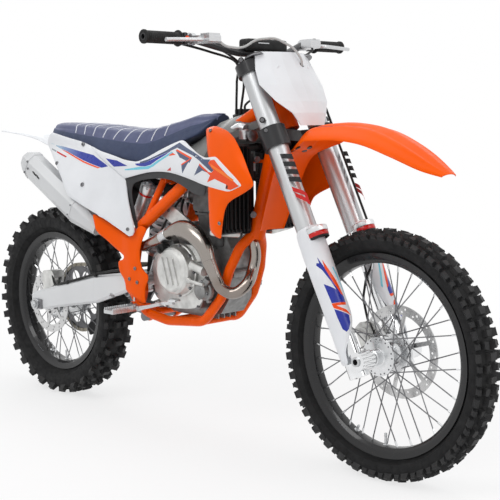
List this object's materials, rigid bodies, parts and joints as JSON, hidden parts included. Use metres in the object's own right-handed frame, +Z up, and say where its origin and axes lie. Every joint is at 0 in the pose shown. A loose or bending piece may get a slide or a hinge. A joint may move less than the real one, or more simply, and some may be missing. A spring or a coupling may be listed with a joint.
{
  "type": "motocross bike",
  "caption": "Off-road motocross bike with knobby tyres on laced wheels, long forks, open engine, tall flat seat and bare plastics, with steering and both wheels free to turn.",
  "frame": {"origin": "the point on the seat where the rider sits, on the bike's middle plane", "axes": "+X forward towards the front wheel, +Y to the rider's left, +Z up"},
  "size_m": [2.168, 0.81, 1.231],
  "materials": {
    "frame_orange": "gloss",
    "alloy": "satin",
    "cast_alloy": "cast",
    "cover_alloy": "satin",
    "hub_alloy": "satin",
    "fork_alloy": "satin",
    "radiator_alloy": "satin",
    "silencer_alloy": "brushed",
    "header_steel": "heat tinted",
    "steel": "satin",
    "steel_dark": "satin",
    "disc_steel": "brushed",
    "chain_steel": "satin",
    "fork_chrome": "polished",
    "spring_paint": "gloss",
    "sprocket_orange": "satin",
    "clamp_black": "satin",
    "bar_black": "satin",
    "lever_black": "satin",
    "rim_black": "satin",
    "plastic_orange": "gloss",
    "plastic_white": "gloss",
    "plastic_black": "matte",
    "tank_grey": "satin",
    "seat_cover": "matte",
    "pad_foam": "matte",
    "rubber_black": "matte",
    "tyre_black": "matte"
  },
  "bodies": {
    "chassis": {"main_frame": "frame_orange", "subframe": "alloy", "swingarm": "alloy", "swingarm_pivot_bolt": "steel", "frame_guards": "plastic_orange", "engine_case": "cast_alloy", "cylinder_head": "cast_alloy", "head_stays": "cover_alloy", "clutch_cover": "cover_alloy", "water_pump": "cast_alloy", "ignition_cover": "cover_alloy", "header_pipe": "header_steel", "silencer": "silencer_alloy", "shock_absorber": "cover_alloy", "shock_spring": "spring_paint", "shock_linkage": "steel_dark", "radiators": "radiator_alloy", "radiator_guards": "plastic_black", "shroud_left": "plastic_orange", "shroud_right": "plastic_orange", "side_panel_left": "plastic_white", "side_panel_right": "plastic_white", "rear_fender": "plastic_white", "seat": "seat_cover", "fuel_tank": "tank_grey", "fuel_cap": "plastic_black", "airbox": "plastic_black", "footpegs": "steel", "brake_pedal": "alloy", "shift_lever": "alloy", "rear_caliper": "clamp_black", "rear_axle": "steel", "front_sprocket": "steel_dark", "chain": "chain_steel", "radiator_hoses": "rubber_black", "chain_guide": "plastic_black"},
    "steering": {"lower_clamp": "clamp_black", "upper_clamp": "clamp_black", "fork_outer_tubes": "fork_alloy", "fork_lowers": "fork_chrome", "fork_guards": "plastic_white", "front_axle": "steel", "front_caliper": "clamp_black", "front_brake_hose": "rubber_black", "front_fender": "plastic_orange", "number_plate": "plastic_white", "handlebar": "bar_black", "grips": "rubber_black", "bar_levers": "lever_black", "bar_pad": "pad_foam"},
    "front_wheel": {"front_tyre": "tyre_black", "front_rim": "rim_black", "front_hub_spokes": "hub_alloy", "front_disc": "disc_steel"},
    "rear_wheel": {"rear_tyre": "tyre_black", "rear_rim": "rim_black", "rear_hub_spokes": "hub_alloy", "rear_disc": "disc_steel", "rear_sprocket": "sprocket_orange"}
  },
  "joints": [
    {"name": "steering", "type": "hinge", "parent": "chassis", "child": "steering", "pos_m": [0.60355, 0, 0.07002], "axis": [-0.4399, 0, 0.898], "range_deg": [-43, 43]},
    {"name": "front_wheel_spin", "type": "hinge", "parent": "steering", "child": "front_wheel", "pos_m": [0.9925, 0, -0.608], "axis": [0, 1, 0], "continuous": true},
    {"name": "rear_wheel_spin", "type": "hinge", "parent": "chassis", "child": "rear_wheel", "pos_m": [-0.4925, 0, -0.615], "axis": [0, 1, 0], "continuous": true}
  ]
}
